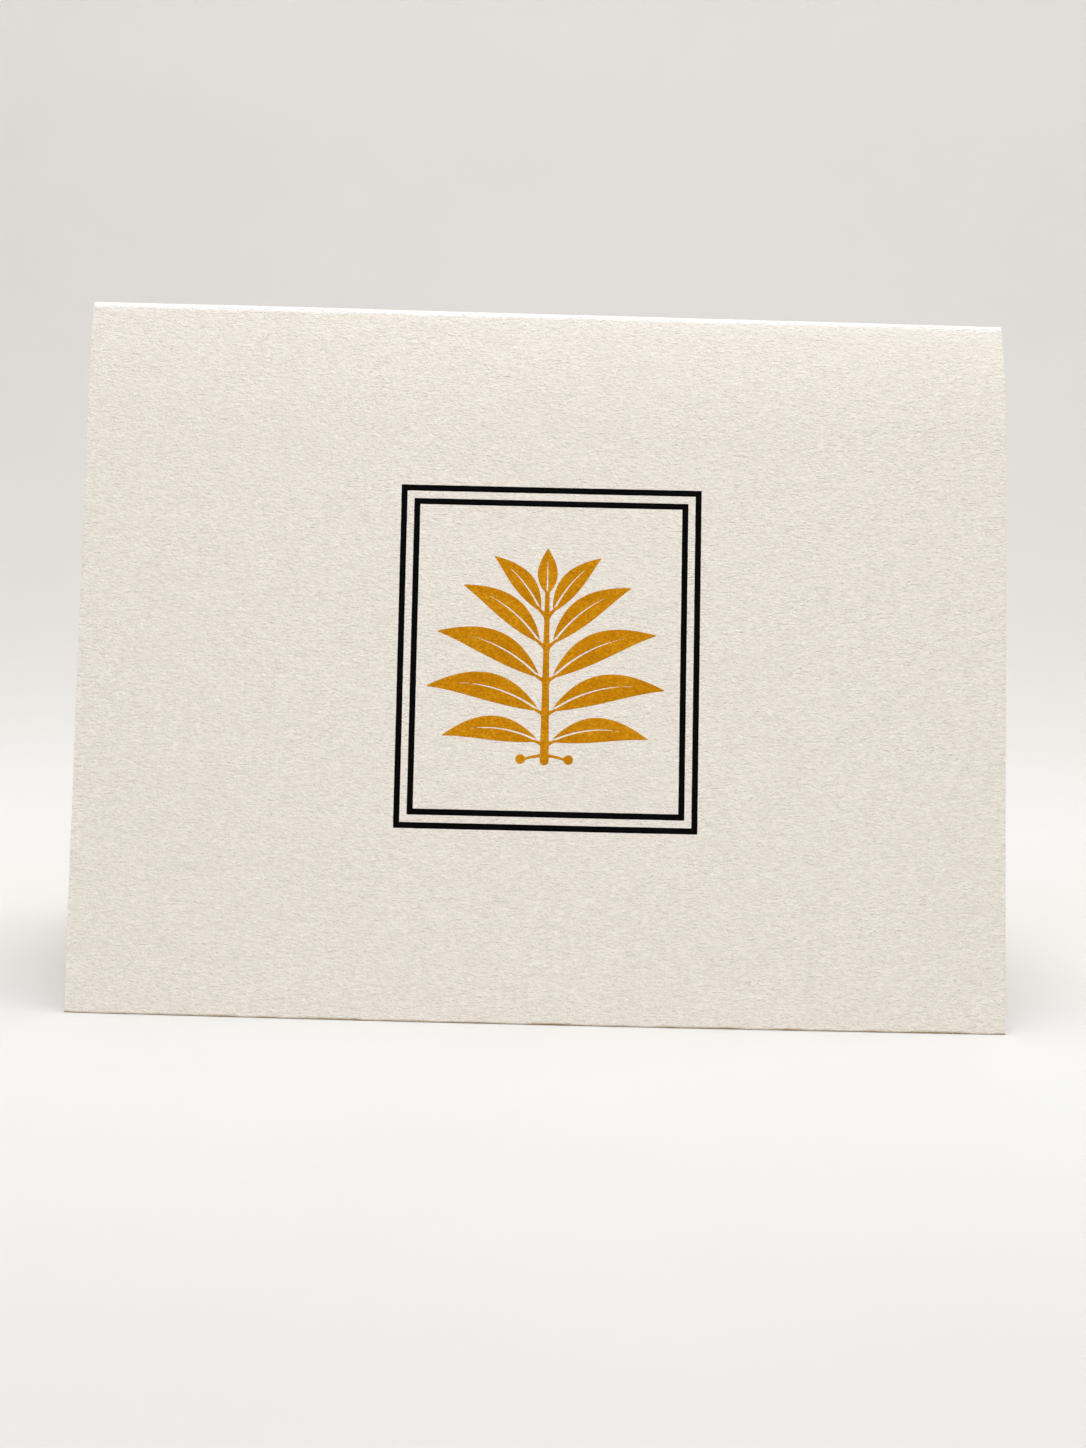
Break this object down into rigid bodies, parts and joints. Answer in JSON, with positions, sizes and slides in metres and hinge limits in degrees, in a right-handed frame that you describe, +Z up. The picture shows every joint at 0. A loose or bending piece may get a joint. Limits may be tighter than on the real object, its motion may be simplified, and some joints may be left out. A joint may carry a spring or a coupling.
{
  "type": "greeting card",
  "caption": "Folded greeting card in heavy cream felt-finish stock, standing as a tent, its front printed with a double black rule around a gold leaf sprig.",
  "frame": {"origin": "centre of the footprint at the level of the surface that the card stands on", "axes": "+X along the fold to the right as the front panel is read, +Z up, -Y out of the front panel towards the reader"},
  "size_m": [0.1396, 0.0596, 0.1046],
  "materials": {
    "card_stock": "uncoated felt finish, cream white",
    "black_ink": "matt black printing ink on the stock",
    "gold_ink": "grainy antique-gold printing ink on the stock"
  },
  "bodies": {
    "root": {"card": "card_stock"}
  },
  "joints": []
}
